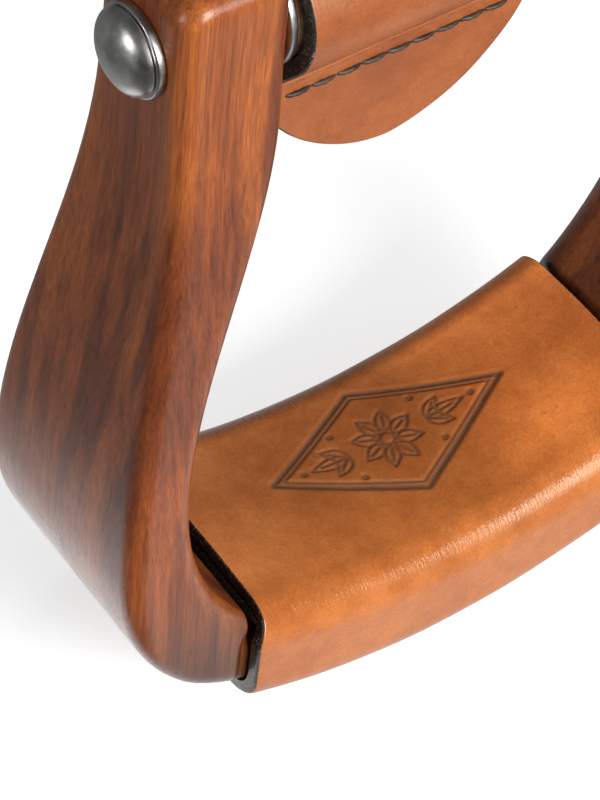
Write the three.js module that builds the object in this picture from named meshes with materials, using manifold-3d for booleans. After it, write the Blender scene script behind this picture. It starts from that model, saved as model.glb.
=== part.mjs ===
// A wooden western saddle stirrup: two carved hardwood sides on a tread block that wears a
// leather cover, and a wooden roller with a leather wear flap on the bolt at the top.
// Millimetres. X runs along the tread, -Y is the front and +Z is up.
// The origin is under the middle of the tread, at the lowest point of the leather.

import * as THREE from 'three';
import { mergeVertices } from 'three/addons/utils/BufferGeometryUtils.js';
import Module from 'manifold-3d';

const wasm = await Module();
wasm.setup();

// The whole stirrup, and the gap left between pieces that touch
const STIRRUP_HEIGHT = 181;
const CLEARANCE = 0.3;

// Leather cover of the tread, bounded above and below by arcs that are open upwards
const COVER_HALF_LENGTH = 50.4;
const COVER_DEPTH = 51.6;
const COVER_HEIGHT = 26.8;
const COVER_TOP_RADIUS = 135;
const COVER_BOTTOM_RADIUS = 125;
const COVER_CORNER = 8;
const COVER_LEATHER = 3;
const COVER_END_SET_BACK = 2.5;

// Second layer of leather, on top of the tread only
const PAD_LEATHER = 3;
const PAD_SIDE_MARGIN = 1.5;
const PAD_CORNER = 2.5;

// Seam under the tread, where the edges of the cover meet, and the lace in its groove
const SEAM_GAP = 0.6;
const SEAM_GROOVE_WIDTH = 9;
const SEAM_GROOVE_DEPTH = 1.8;
const LACE_DIAMETER = 1.2;
const LACE_PITCH = 8;
const LACE_END_MARGIN = 3;

// Wood under the leather: the middle block, its tongues and the pegs through them
const BLOCK_END_INSET = 20.4;
const TONGUE_LENGTH = 17;
const TONGUE_SHOULDER = 4.6;
const TONGUE_SIDE_SHOULDER = 7;
const TONGUE_CORNER = 1;
const PEG_DIAMETER = 6;
const PEG_SPACING = 18;

// Carved side, seen from the front. The foot turns up in two arcs, then both faces ease into
// the straight neck.
const INNER_HALF_WIDTH = 64.8;
const INNER_WIDEST_Z = 72.6;
const INNER_FOOT_RADIUS = 56;
const INNER_FOOT_START = 42;
const OUTER_HALF_WIDTH = 78.2;
const OUTER_WIDEST_Z = 60.9;
const OUTER_FOOT_RADIUS = 54;
const OUTER_FOOT_START = 28;
const NECK_HALF_GAP = 47;
const NECK_THICKNESS = 20.5;
const NECK_LENGTH = 27;

// Carved side, seen from the end
const SIDE_FOOT_DEPTH = 47.4;
const SIDE_NECK_DEPTH = 23.6;
const SIDE_TAPER_START_Z = 39;
const SIDE_TAPER_END_DROP = 3.4;
const SIDE_EDGE_ROUND = 4.7;
const SIDE_TOP_ROUND = 5;
const FOOT_RECESS = 1.8;

// Bolt, roller and washers at the top
const BOLT_DROP = 15;
const BOLT_DIAMETER = 8;
const BOLT_HEAD_DIAMETER = 15;
const BOLT_HEAD_HEIGHT = 4;
const BOLT_END_PAST_NUT = 2;
const NUT_ACROSS_FLATS = 13;
const NUT_HEIGHT = 6.5;
const OUTER_WASHER_DIAMETER = 16;
const OUTER_WASHER_THICKNESS = 1.6;
const INNER_WASHER_DIAMETER = 22;
const INNER_WASHER_THICKNESS = 1.5;
const ROLLER_DIAMETER = 21;
const ROLLER_END_ROUND = 1.2;
const ROLLER_END_PLAY = 0.5;

// Leather flap: one strip wrapped over the roller, its two plies stitched together below
const FLAP_LEATHER = 3;
const FLAP_WIDTH = 54;
const FLAP_DROP = 41;
const FLAP_JOIN_DROP = 19;
const FLAP_TIP_HEIGHT = 22;
const FLAP_TIP_HANDLE = 13;
const FLAP_EDGE_HANDLE = 9;
const FLAP_STITCH_DROP = 21.5;
const FLAP_STITCH_PITCH = 5;
const FLAP_STITCH_MARGIN = 4.5;
const FLAP_THREAD_DIAMETER = 1;

// Fineness of the curved faces
const TREAD_STEPS = 16;
const FOOT_STEPS = 9;
const SIDE_STEPS = 16;
const CORNER_STEPS = 4;
const ROUND_STEPS = 28;
const CORD_HALF_SIDES = 3;
const LACE_STEPS = 8;
const THREAD_STEPS = 8;

// Widths and places that follow from the sizes above
const coverHalfDepth = COVER_DEPTH / 2;
const cavityHalfDepth = coverHalfDepth - COVER_LEATHER;
const cavityCorner = COVER_CORNER - COVER_LEATHER;
const blockHalfDepth = cavityHalfDepth - CLEARANCE;
const blockCorner = cavityCorner - CLEARANCE;
const padTop = -COVER_LEATHER - CLEARANCE;
const padBottom = padTop - PAD_LEATHER;
const blockTop = padBottom - CLEARANCE;
const blockBottom = COVER_LEATHER + CLEARANCE;
const laceReach = COVER_HALF_LENGTH - LACE_END_MARGIN;
const laceWaves = Math.round(2 * laceReach / LACE_PITCH);
const blockHalfLength = COVER_HALF_LENGTH - BLOCK_END_INSET;
const tongueHalfLength = blockHalfLength + TONGUE_LENGTH;
const pegX = blockHalfLength + TONGUE_LENGTH / 2;
const pegLow = coverBottom(pegX + PEG_DIAMETER / 2) + blockBottom + CLEARANCE;
const pegHigh = coverTop(pegX - PEG_DIAMETER / 2) + blockTop - CLEARANCE;
const neckHalfWidth = NECK_HALF_GAP + NECK_THICKNESS;
const neckStart = STIRRUP_HEIGHT - NECK_LENGTH;
const taperEnd = STIRRUP_HEIGHT - SIDE_TAPER_END_DROP;
const boltZ = STIRRUP_HEIGHT - BOLT_DROP;
const boltRadius = BOLT_DIAMETER / 2;
const rollerRadius = ROLLER_DIAMETER / 2;
const rollerHalfLength = NECK_HALF_GAP - INNER_WASHER_THICKNESS - ROLLER_END_PLAY;
const flapX = FLAP_WIDTH / 2 - rollerHalfLength + CLEARANCE;

const materials = {
  wood: new THREE.MeshStandardMaterial({ color: '#7b4a35', roughness: 0.38 }),
  hiddenWood: new THREE.MeshStandardMaterial({ color: '#a5764c', roughness: 0.7 }),
  leather: new THREE.MeshStandardMaterial({ color: '#b86e42', roughness: 0.5 }),
  innerLeather: new THREE.MeshStandardMaterial({ color: '#8a5433', roughness: 0.7 }),
  thread: new THREE.MeshStandardMaterial({ color: '#3a2a20', roughness: 0.75 }),
  steel: new THREE.MeshStandardMaterial({ color: '#9a9a97', roughness: 0.35, metalness: 1 }),
};

// Helpers for solids

// Goes from one value to another, level at both ends, as t goes from 0 to 1.
function ease(from, to, t) {
  const part = Math.min(Math.max(t, 0), 1);
  return from + (to - from) * (1 - Math.cos(Math.PI * part)) / 2;
}

function steps(count) {
  return Array.from({ length: count + 1 }, (_, i) => i / count);
}

function signedVolume(position, index) {
  const [a, b, c] = [new THREE.Vector3(), new THREE.Vector3(), new THREE.Vector3()];
  let volume = 0;
  for (let i = 0; i < index.length; i += 3) {
    a.fromBufferAttribute(position, index[i]);
    b.fromBufferAttribute(position, index[i + 1]);
    c.fromBufferAttribute(position, index[i + 2]);
    volume += a.dot(b.cross(c)) / 6;
  }
  return volume;
}

// Turns a closed geometry into a solid, with its faces pointing out.
function solid(geometry) {
  const bare = geometry.clone();
  bare.deleteAttribute('normal');
  bare.deleteAttribute('uv');
  const { attributes, index } = mergeVertices(bare, 1e-4);
  const triangles = [];
  for (let i = 0; i < index.count; i += 3) {
    const [a, b, c] = [index.getX(i), index.getX(i + 1), index.getX(i + 2)];
    if (a !== b && b !== c && c !== a) {
      triangles.push(a, b, c);
    }
  }
  if (signedVolume(attributes.position, triangles) < 0) {
    triangles.reverse();
  }
  return new wasm.Manifold(new wasm.Mesh({
    numProp: 3,
    vertProperties: new Float32Array(attributes.position.array),
    triVerts: new Uint32Array(triangles),
  }));
}

function geometryOf(manifold) {
  const mesh = manifold.getMesh();
  const geometry = new THREE.BufferGeometry();
  geometry.setAttribute('position', new THREE.BufferAttribute(mesh.vertProperties, 3));
  geometry.setIndex(new THREE.BufferAttribute(mesh.triVerts, 1));
  return geometry;
}

// Joins closed rings of points into one solid. Each ring's halves mirror each other, so the
// ends are closed by strips from one half across to the other.
function loft(rings) {
  const count = rings[0].length;
  const index = [];
  for (let i = 0; i + 1 < rings.length; i++) {
    for (let k = 0; k < count; k++) {
      const a = i * count + k;
      const b = i * count + (k + 1) % count;
      index.push(a, b, b + count, a, b + count, a + count);
    }
  }
  const last = (rings.length - 1) * count;
  for (let k = 0; k + 1 < count / 2; k++) {
    const [a, b, c, d] = [k, k + 1, count - 2 - k, count - 1 - k];
    index.push(a, c, b, a, d, c);
    index.push(last + a, last + b, last + c, last + a, last + c, last + d);
  }
  const geometry = new THREE.BufferGeometry().setFromPoints(rings.flat());
  geometry.setIndex(index);
  return solid(geometry);
}

// Points of a rounded rectangle. The sign pair says which corner each point belongs to.
function roundedCorners(halfWidth, halfHeight, round, cornerSteps) {
  const corners = [[1, -1, -90], [1, 1, 0], [-1, 1, 90], [-1, -1, 180]];
  return corners.flatMap(([right, up, startAngle]) => steps(cornerSteps).map((t) => {
    const angle = THREE.MathUtils.degToRad(startAngle + 90 * t);
    return {
      across: right * (halfWidth - round) + round * Math.cos(angle),
      above: up * (halfHeight - round) + round * Math.sin(angle),
      up,
      rise: Math.sin(angle),
    };
  }));
}

// A solid turned about the X axis. The profile is a list of [x, radius].
function turned(profile) {
  const points = profile.map(([x, radius]) => new THREE.Vector2(radius, x));
  const geometry = new THREE.LatheGeometry(points, ROUND_STEPS);
  geometry.rotateZ(-Math.PI / 2);
  return solid(geometry);
}

function turnedPin(fromX, toX, radius) {
  return turned([[fromX, 0], [fromX, radius], [toX, radius], [toX, 0]]);
}

function turnedSleeve(fromX, toX, innerRadius, outerRadius, endRound = 0) {
  return turned([
    [fromX, innerRadius],
    [fromX, outerRadius - endRound],
    [fromX + endRound, outerRadius],
    [toX - endRound, outerRadius],
    [toX, outerRadius - endRound],
    [toX, innerRadius],
    [fromX, innerRadius],
  ]);
}

// A round cord along a curve.
function cord(curve, diameter, cordSteps) {
  const section = new THREE.Shape();
  section.absarc(0, 0, diameter / 2, 0, 2 * Math.PI);
  return solid(new THREE.ExtrudeGeometry(section, {
    steps: cordSteps,
    curveSegments: CORD_HALF_SIDES,
    extrudePath: curve,
  }));
}

// Tread

function coverTop(x) {
  return COVER_HEIGHT + COVER_TOP_RADIUS - Math.sqrt(COVER_TOP_RADIUS ** 2 - x ** 2);
}

function coverBottom(x) {
  return COVER_BOTTOM_RADIUS - Math.sqrt(COVER_BOTTOM_RADIUS ** 2 - x ** 2);
}

// A bar that follows the tread, with its lower face at one height above the cover's lower
// face, and its upper face at another above the given one. Its ends are upright, and over
// the upper face they may be set back.
function treadBar({
  halfLength, halfDepth, low, high, corner, upperFace = coverTop, setBack = 0,
  cornerSteps = CORNER_STEPS,
}) {
  const section = roundedCorners(halfDepth, 0, corner, cornerSteps);
  return loft(steps(TREAD_STEPS).map((t) => section.map(({ across, above, up, rise }) => {
    const lift = up > 0 ? rise : 0;
    const x = (2 * t - 1) * (halfLength - ease(0, setBack, lift));
    const face = up > 0 ? upperFace(x) + high : coverBottom(x) + low;
    return new THREE.Vector3(x, across, face + above);
  })));
}

function coverOutside(growth, endGrowth) {
  return treadBar({
    halfLength: COVER_HALF_LENGTH + endGrowth,
    halfDepth: coverHalfDepth + growth,
    low: -growth,
    high: growth,
    corner: COVER_CORNER + growth,
    setBack: COVER_END_SET_BACK,
  });
}

// A cutter that runs out past both ends of the cover, square in section.
function treadCut(halfDepth, low, high, upperFace) {
  return treadBar({
    halfLength: COVER_HALF_LENGTH + COVER_CORNER,
    halfDepth,
    low,
    high,
    upperFace,
    corner: SEAM_GAP / 8,
    cornerSteps: 1,
  });
}

function treadCover() {
  const cavity = treadBar({
    halfLength: COVER_HALF_LENGTH + COVER_CORNER,
    halfDepth: cavityHalfDepth,
    low: COVER_LEATHER,
    high: -COVER_LEATHER,
    corner: cavityCorner,
  });
  const seam = treadCut(SEAM_GAP / 2, -COVER_LEATHER, 2 * COVER_LEATHER, coverBottom);
  const groove = treadCut(
    SEAM_GROOVE_WIDTH / 2, -COVER_LEATHER, SEAM_GROOVE_DEPTH, coverBottom);
  return coverOutside(0, 0).subtract(cavity).subtract(seam).subtract(groove);
}

function treadPad() {
  const bar = treadBar({
    halfLength: COVER_HALF_LENGTH - COVER_END_SET_BACK,
    halfDepth: cavityHalfDepth - PAD_SIDE_MARGIN,
    low: 0,
    high: padTop,
    corner: PAD_CORNER,
  });
  return bar.subtract(treadCut(coverHalfDepth, -COVER_CORNER, padBottom, coverTop));
}

// The lace winds along the groove under the tread, clear of the ground.
class LaceCurve extends THREE.Curve {
  getPoint(t, target = new THREE.Vector3()) {
    const x = (2 * t - 1) * laceReach;
    const swing = SEAM_GROOVE_WIDTH / 2 - LACE_DIAMETER / 2 - CLEARANCE;
    const height = SEAM_GROOVE_DEPTH - CLEARANCE - LACE_DIAMETER / 2;
    return target.set(
      x, swing * Math.sin(2 * Math.PI * laceWaves * t), coverBottom(x) + height);
  }
}

function treadLace() {
  return cord(new LaceCurve(), LACE_DIAMETER, laceWaves * LACE_STEPS);
}

function treadWood(halfLength) {
  return treadBar({
    halfLength,
    halfDepth: blockHalfDepth,
    low: blockBottom,
    high: blockTop,
    corner: blockCorner,
  });
}

function tongue(growth) {
  return treadBar({
    halfLength: tongueHalfLength + growth,
    halfDepth: blockHalfDepth - TONGUE_SIDE_SHOULDER + growth,
    low: blockBottom + TONGUE_SHOULDER - growth,
    high: blockTop - TONGUE_SHOULDER + growth,
    corner: TONGUE_CORNER,
  });
}

// A peg stands upright through one side's foot and the tongue in it.
function peg(radius, length) {
  const geometry = new THREE.CylinderGeometry(radius, radius, length, ROUND_STEPS / 2);
  geometry.rotateX(Math.PI / 2);
  return solid(geometry);
}

function pegPlace(sideSign, rowSign) {
  return [sideSign * pegX, rowSign * PEG_SPACING / 2, (pegLow + pegHigh) / 2];
}

// The holes are wider than the pegs and run out past both faces.
function pegHoles(sideSign) {
  const hole = peg(PEG_DIAMETER / 2 + CLEARANCE, pegHigh - pegLow + 2 * COVER_CORNER);
  return hole.translate(...pegPlace(sideSign, -1)).add(hole.translate(...pegPlace(sideSign, 1)));
}

function treadBlock() {
  return treadWood(blockHalfLength).add(tongue(0))
    .subtract(pegHoles(1))
    .subtract(pegHoles(-1));
}

// Sides

function footArc(halfWidth, widestZ, radius, degrees) {
  const angle = THREE.MathUtils.degToRad(degrees);
  return new THREE.Vector2(
    halfWidth - radius + radius * Math.sin(angle),
    widestZ - radius * Math.cos(angle),
  );
}

// A point on one face above its widest point, where it eases into the neck.
function upperFace(halfWidth, widestZ, halfWidthAtNeck, t) {
  const z = THREE.MathUtils.lerp(widestZ, STIRRUP_HEIGHT - SIDE_TOP_ROUND, t);
  const rise = (z - widestZ) / (neckStart - widestZ);
  return new THREE.Vector2(ease(halfWidth, halfWidthAtNeck, rise), z);
}

function sideDepth(z) {
  const rise = (z - SIDE_TAPER_START_Z) / (taperEnd - SIDE_TAPER_START_Z);
  return ease(SIDE_FOOT_DEPTH, SIDE_NECK_DEPTH, rise);
}

// Pairs of points on the inner and the outer face, from the foot to the top.
function sideStations() {
  const foot = steps(FOOT_STEPS).map((t) => ({
    inner: footArc(INNER_HALF_WIDTH, INNER_WIDEST_Z, INNER_FOOT_RADIUS,
      THREE.MathUtils.lerp(INNER_FOOT_START, 90, t)),
    outer: footArc(OUTER_HALF_WIDTH, OUTER_WIDEST_Z, OUTER_FOOT_RADIUS,
      THREE.MathUtils.lerp(OUTER_FOOT_START, 90, t)),
  }));
  const upper = steps(SIDE_STEPS).slice(1).map((t) => ({
    inner: upperFace(INNER_HALF_WIDTH, INNER_WIDEST_Z, NECK_HALF_GAP, t),
    outer: upperFace(OUTER_HALF_WIDTH, OUTER_WIDEST_Z, neckHalfWidth, t),
  }));
  return [...foot, ...upper];
}

// One closed ring of the side: a rounded rectangle between an inner and an outer point.
function sideRing(inner, outer, depth, inset, raise) {
  const middle = inner.clone().add(outer).multiplyScalar(0.5);
  const inward = inner.clone().sub(outer);
  const halfThickness = inward.length() / 2 - inset;
  const round = Math.max(SIDE_EDGE_ROUND - inset, CLEARANCE);
  inward.normalize();
  return roundedCorners(depth / 2 - inset, halfThickness, round, CORNER_STEPS)
    .map(({ across, above }) => new THREE.Vector3(
      middle.x + above * inward.x,
      across,
      middle.y + above * inward.y + raise,
    ));
}

function carvedSide() {
  const stations = sideStations();
  const rings = stations.map(({ inner, outer }) => (
    sideRing(inner, outer, sideDepth((inner.y + outer.y) / 2), 0, 0)));
  const top = stations.at(-1);
  for (const t of steps(CORNER_STEPS).slice(1)) {
    const angle = t * Math.PI / 2;
    const inset = SIDE_TOP_ROUND * (1 - Math.cos(angle));
    const raise = SIDE_TOP_ROUND * Math.sin(angle);
    rings.push(sideRing(top.inner, top.outer, sideDepth(STIRRUP_HEIGHT), inset, raise));
  }
  return loft(rings);
}

// The foot of the side at +X, which carries the cover and takes the block's tongue. It is
// bare between the cover's end and the side's full section.
function sideFoot() {
  const end = COVER_HALF_LENGTH + 2 * FOOT_RECESS;
  const start = blockHalfLength + CLEARANCE;
  const room = new THREE.BoxGeometry(start + 2 * end, COVER_DEPTH, 4 * COVER_HEIGHT);
  room.translate((start - 2 * end) / 2, 0, 0);
  return treadWood(end).subtract(solid(room));
}

function rightSide() {
  const boltHole = turnedPin(0, 2 * neckHalfWidth, boltRadius + CLEARANCE)
    .translate(0, 0, boltZ);
  return carvedSide()
    .subtract(coverOutside(CLEARANCE, FOOT_RECESS))
    .add(sideFoot())
    .subtract(tongue(CLEARANCE))
    .subtract(pegHoles(1))
    .subtract(boltHole);
}

// Bolt, roller and washers, about the bolt's axis

function topBolt() {
  const head = -neckHalfWidth - OUTER_WASHER_THICKNESS;
  const end = neckHalfWidth + OUTER_WASHER_THICKNESS + NUT_HEIGHT + BOLT_END_PAST_NUT;
  const dome = steps(CORNER_STEPS).map((t) => [
    head - BOLT_HEAD_HEIGHT * Math.cos(t * Math.PI / 2),
    BOLT_HEAD_DIAMETER / 2 * Math.sin(t * Math.PI / 2),
  ]);
  return turned([
    ...dome,
    [head, boltRadius],
    [end - CLEARANCE, boltRadius],
    [end, boltRadius - CLEARANCE],
    [end, 0],
  ]);
}

function boltNut() {
  const section = new THREE.Shape();
  const corner = NUT_ACROSS_FLATS / Math.sqrt(3);
  for (let k = 0; k < 6; k++) {
    const angle = k * Math.PI / 3;
    const point = new THREE.Vector2(corner * Math.cos(angle), corner * Math.sin(angle));
    if (k === 0) {
      section.moveTo(point.x, point.y);
    } else {
      section.lineTo(point.x, point.y);
    }
  }
  section.closePath();
  const bore = new THREE.Path();
  bore.absarc(0, 0, boltRadius + CLEARANCE, 0, 2 * Math.PI);
  section.holes.push(bore);
  const geometry = new THREE.ExtrudeGeometry(section, {
    depth: NUT_HEIGHT,
    bevelEnabled: false,
    curveSegments: ROUND_STEPS / 2,
  });
  geometry.rotateY(Math.PI / 2);
  return solid(geometry);
}

function washer(diameter, thickness) {
  return turnedSleeve(0, thickness, boltRadius + CLEARANCE, diameter / 2);
}

function roller() {
  return turnedSleeve(-rollerHalfLength, rollerHalfLength,
    boltRadius + CLEARANCE, rollerRadius, ROLLER_END_ROUND);
}

// Leather flap, about the bolt's axis

// Seen from the end: a loop round the roller, whose plies meet below it and hang together.
function flapSection() {
  const inner = rollerRadius + CLEARANCE;
  const outer = inner + FLAP_LEATHER;
  const reach = Math.hypot(FLAP_LEATHER, FLAP_JOIN_DROP);
  const slant = Math.asin(outer / reach) - Math.atan2(FLAP_LEATHER, FLAP_JOIN_DROP);
  const section = new THREE.Shape();
  section.absarc(0, 0, outer, -slant, Math.PI + slant);
  section.lineTo(-FLAP_LEATHER, -FLAP_JOIN_DROP);
  section.lineTo(-FLAP_LEATHER, -FLAP_DROP - FLAP_LEATHER);
  section.lineTo(FLAP_LEATHER, -FLAP_DROP - FLAP_LEATHER);
  section.lineTo(FLAP_LEATHER, -FLAP_JOIN_DROP);
  section.closePath();
  const loop = new THREE.Path();
  loop.absarc(0, 0, inner, -slant, Math.PI + slant);
  loop.lineTo(0, -inner / Math.sin(slant));
  loop.closePath();
  section.holes.push(loop);
  return section;
}

// Seen from the front: straight edges that run into a rounded tip.
function flapOutline() {
  const half = FLAP_WIDTH / 2;
  const top = ROLLER_DIAMETER;
  const shoulder = FLAP_TIP_HEIGHT - FLAP_DROP;
  const outline = new THREE.Shape();
  outline.moveTo(-half, top);
  outline.lineTo(-half, shoulder);
  outline.bezierCurveTo(
    -half, shoulder - FLAP_EDGE_HANDLE, -FLAP_TIP_HANDLE, -FLAP_DROP, 0, -FLAP_DROP);
  outline.bezierCurveTo(
    FLAP_TIP_HANDLE, -FLAP_DROP, half, shoulder - FLAP_EDGE_HANDLE, half, shoulder);
  outline.lineTo(half, top);
  outline.closePath();
  return outline;
}

// Extrudes an outline by the given depth, half to each side, along the last axis.
function extruded(outline, depth, axes) {
  const geometry = new THREE.ExtrudeGeometry(outline, {
    depth, bevelEnabled: false, curveSegments: ROUND_STEPS / 2,
  });
  geometry.translate(0, 0, -depth / 2);
  geometry.applyMatrix4(new THREE.Matrix4().makeBasis(...axes));
  return solid(geometry);
}

function stitchPlaces() {
  const reach = FLAP_WIDTH / 2 - FLAP_STITCH_MARGIN;
  const count = Math.round(2 * reach / FLAP_STITCH_PITCH);
  return steps(count).map((t) => (2 * t - 1) * reach);
}

function neckFlap() {
  const x = new THREE.Vector3(1, 0, 0);
  const y = new THREE.Vector3(0, 1, 0);
  const z = new THREE.Vector3(0, 0, 1);
  let flap = extruded(flapSection(), FLAP_WIDTH, [y, z, x])
    .intersect(extruded(flapOutline(), 2 * ROLLER_DIAMETER, [x, z, y.clone().negate()]));
  const radius = FLAP_THREAD_DIAMETER / 2 + 2 * CLEARANCE;
  for (const place of stitchPlaces()) {
    const hole = new THREE.CylinderGeometry(radius, radius, 4 * FLAP_LEATHER, 8);
    hole.translate(place, 0, -FLAP_STITCH_DROP);
    flap = flap.subtract(solid(hole));
  }
  return flap;
}

// The thread passes through the plies at every hole, and shows on one face and then the other.
function flapThread() {
  const lift = FLAP_LEATHER + CLEARANCE + FLAP_THREAD_DIAMETER / 2;
  const straight = FLAP_LEATHER - CLEARANCE;
  const points = stitchPlaces().flatMap((place, i) => {
    const sign = i % 2 ? -1 : 1;
    return [lift, straight, -straight, -lift].map((y) => (
      new THREE.Vector3(place, sign * y, -FLAP_STITCH_DROP)));
  });
  const curve = new THREE.CatmullRomCurve3(points, false, 'centripetal');
  return cord(curve, FLAP_THREAD_DIAMETER, stitchPlaces().length * THREAD_STEPS);
}

// The whole stirrup

function piece(name, manifold, material, x = 0, y = 0, z = 0) {
  const geometry = geometryOf(manifold);
  geometry.computeVertexNormals();
  const mesh = new THREE.Mesh(geometry, material);
  mesh.name = name;
  mesh.position.set(x, y, z);
  return mesh;
}

// The same piece at the left, where it is turned half round about the upright axis.
function leftPiece(name, manifold, material, x = 0) {
  const mesh = piece(name, manifold, material, -x);
  mesh.rotation.z = Math.PI;
  return mesh;
}

const tread = new THREE.Group();
tread.add(
  piece('tread_block', treadBlock(), materials.hiddenWood),
  piece('tread_pad', treadPad(), materials.innerLeather),
  piece('tread_cover', treadCover(), materials.leather),
  piece('tread_lace', treadLace(), materials.thread),
);
const woodPeg = peg(PEG_DIAMETER / 2, pegHigh - pegLow);
for (const [hand, sideSign] of [['left', -1], ['right', 1]]) {
  for (const [row, rowSign] of [['front', -1], ['back', 1]]) {
    tread.add(piece(
      `${hand}_${row}_peg`, woodPeg, materials.hiddenWood, ...pegPlace(sideSign, rowSign)));
  }
}

const top = new THREE.Group();
top.position.z = boltZ;
const nutX = neckHalfWidth + OUTER_WASHER_THICKNESS;
const outerWasher = washer(OUTER_WASHER_DIAMETER, OUTER_WASHER_THICKNESS);
const innerWasher = washer(INNER_WASHER_DIAMETER, INNER_WASHER_THICKNESS);
const innerWasherX = NECK_HALF_GAP - INNER_WASHER_THICKNESS;
top.add(
  piece('top_bolt', topBolt(), materials.steel),
  piece('bolt_nut', boltNut(), materials.steel, nutX),
  piece('right_outer_washer', outerWasher, materials.steel, neckHalfWidth),
  leftPiece('left_outer_washer', outerWasher, materials.steel, neckHalfWidth),
  piece('right_inner_washer', innerWasher, materials.steel, innerWasherX),
  leftPiece('left_inner_washer', innerWasher, materials.steel, innerWasherX),
  piece('top_roller', roller(), materials.hiddenWood),
  piece('neck_flap', neckFlap(), materials.leather, flapX),
  piece('flap_thread', flapThread(), materials.thread, flapX),
);

const stirrup = new THREE.Group();
const side = rightSide();
stirrup.add(
  piece('right_side', side, materials.wood),
  leftPiece('left_side', side, materials.wood),
  tread,
  top,
);

export default stirrup;
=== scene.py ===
"""The looks of a wooden western stirrup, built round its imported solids.

Two carved hardwood sides stand on a curved tread that is wrapped in russet leather. A
wooden roller turns on the bolt at the top, with a stitched leather flap round it.
Shapes are worked out in millimetres and turned into metres when their mesh is made.
"""

import math

import bpy
import numpy as np
from mathutils import Matrix, Vector


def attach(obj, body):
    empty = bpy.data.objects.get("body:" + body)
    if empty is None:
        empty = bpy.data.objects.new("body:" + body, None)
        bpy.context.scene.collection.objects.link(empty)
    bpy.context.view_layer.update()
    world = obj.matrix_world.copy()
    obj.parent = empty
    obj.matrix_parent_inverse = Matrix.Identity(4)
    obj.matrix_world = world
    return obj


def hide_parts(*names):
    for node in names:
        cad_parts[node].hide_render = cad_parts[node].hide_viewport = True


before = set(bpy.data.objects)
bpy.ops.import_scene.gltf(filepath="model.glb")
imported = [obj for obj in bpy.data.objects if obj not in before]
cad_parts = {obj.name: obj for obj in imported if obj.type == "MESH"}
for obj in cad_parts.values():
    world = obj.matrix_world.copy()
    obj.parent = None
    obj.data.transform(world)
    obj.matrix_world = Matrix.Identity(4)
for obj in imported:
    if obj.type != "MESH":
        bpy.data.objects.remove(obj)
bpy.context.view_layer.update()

MM = 0.001
CLEARANCE = 0.3
TINY = 1e-9

# Tread, bounded above and below by arcs that are open upwards
COVER_HALF_LENGTH = 50.4
COVER_HALF_DEPTH = 25.8
COVER_HEIGHT = 26.8
TOP_ARC = 135
BOTTOM_ARC = 125
COVER_CORNER = 8
COVER_CROWN = 1.4
CROWN_REACH = 23
SURFACE_WAVE = 0.05
LEATHER = 3
END_SET_BACK = 2.5
BACK_SET_BACK = 0.55
CUT_EDGE_ROUND = 0.7
PAD_MARGIN = 1.5
SEAM_GAP = 0.6
GROOVE_HALF_WIDTH = 4.5
GROOVE_DEPTH = 1.8
LACE_RADIUS = 0.6
LACE_WAVES = 12
LACE_SWING = 3.6
LACE_END_MARGIN = 3

# Wood under the leather: the sides' feet, with a mortise for the core's tongue, and the pegs
HIDDEN_LEATHER = LEATHER + CLEARANCE
CORE_HALF_LENGTH = 30
TONGUE_LENGTH = 17
TONGUE_SHOULDER = 4.6
TONGUE_SIDE_SHOULDER = 7
TONGUE_CORNER = 1.0
PEG_RADIUS = 3
PEG_X = 38.5
PEG_Y = 9

# Tooling
TOOLED_MIDDLE = (0.0, 3.4)
LOZENGE_REACH = (27, 13.6)
LOZENGE_LINE = 0.55
FINE_LINE = 0.3
TOOLED_DEPTH = 0.42

# Carved side
STIRRUP_HEIGHT = 181
INNER_FACE = {"half_width": 64.8, "widest": 72.6, "radius": 56, "start": 42, "neck": 47}
OUTER_FACE = {"half_width": 78.2, "widest": 60.9, "radius": 54, "start": 28, "neck": 67.5}
NECK_START = 154
EDGE_ROUND = 3.7
BACK_EDGE = {"round": 8.5, "top": 50, "fade": 25}
UNDER_EDGE = {"round": 6.5, "top": 20, "fade": 12}
TOP_ROUND = 5
FOOT_DEPTH = 47.4
NECK_DEPTH = 23.6
TAPER_START = 39
TAPER_END = 177.6
FOOT_RECESS = 1.8
RECESS_EDGE = 1.9
HOLE_EDGE = 0.4
FINE_GRID = 0.62
NECK_GRID = 1.35

# Bolt, roller and flap
BOLT_Z = 166
BOLT_RADIUS = 4
BOLT_HEAD_RADIUS = 7.5
BOLT_HEAD_HEIGHT = 4
BOLT_END_PAST_NUT = 2
THREAD_PITCH = 1.25
THREAD_DEPTH = 0.55
BORE = BOLT_RADIUS + CLEARANCE
NUT_HEIGHT = 6.5
NUT_HALF_ACROSS = 6.5
NUT_CORNER = 7.6
OUTER_WASHER = {"thick": 1.6, "radius": 8}
INNER_WASHER = {"thick": 1.5, "radius": 11}
WASHER_EDGE = 0.35
ROLLER_RADIUS = 10.5
ROLLER_HALF_LENGTH = 45
ROLLER_EDGE = 1.2
NECK_FACE = 67.5
NECK_GAP = 47
FLAP_X = -17.7
FLAP_HALF_WIDTH = 27
FLAP_DROP = 41
FLAP_JOIN_DROP = 19
FLAP_SHOULDER_DROP = 19
FLAP_TIP_HANDLES = ((13, -FLAP_DROP), (FLAP_HALF_WIDTH, -28))
PLY_MIDDLE = 1.52
STITCHES = 9
STITCH_DROP = 21.5
STITCH_MARGIN = 4.5
STITCH_RADIUS = 0.5


# Meshes

def ease(start, end, part):
    """Goes from one value to another, level at both ends."""
    part = np.clip(part, 0, 1)
    return start + (end - start) * (1 - np.cos(np.pi * part)) / 2


def smooth(edge, part):
    """1 at zero, down to 0 at the edge."""
    t = np.clip(1 - part / edge, 0, 1)
    return t * t * (3 - 2 * t)


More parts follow.
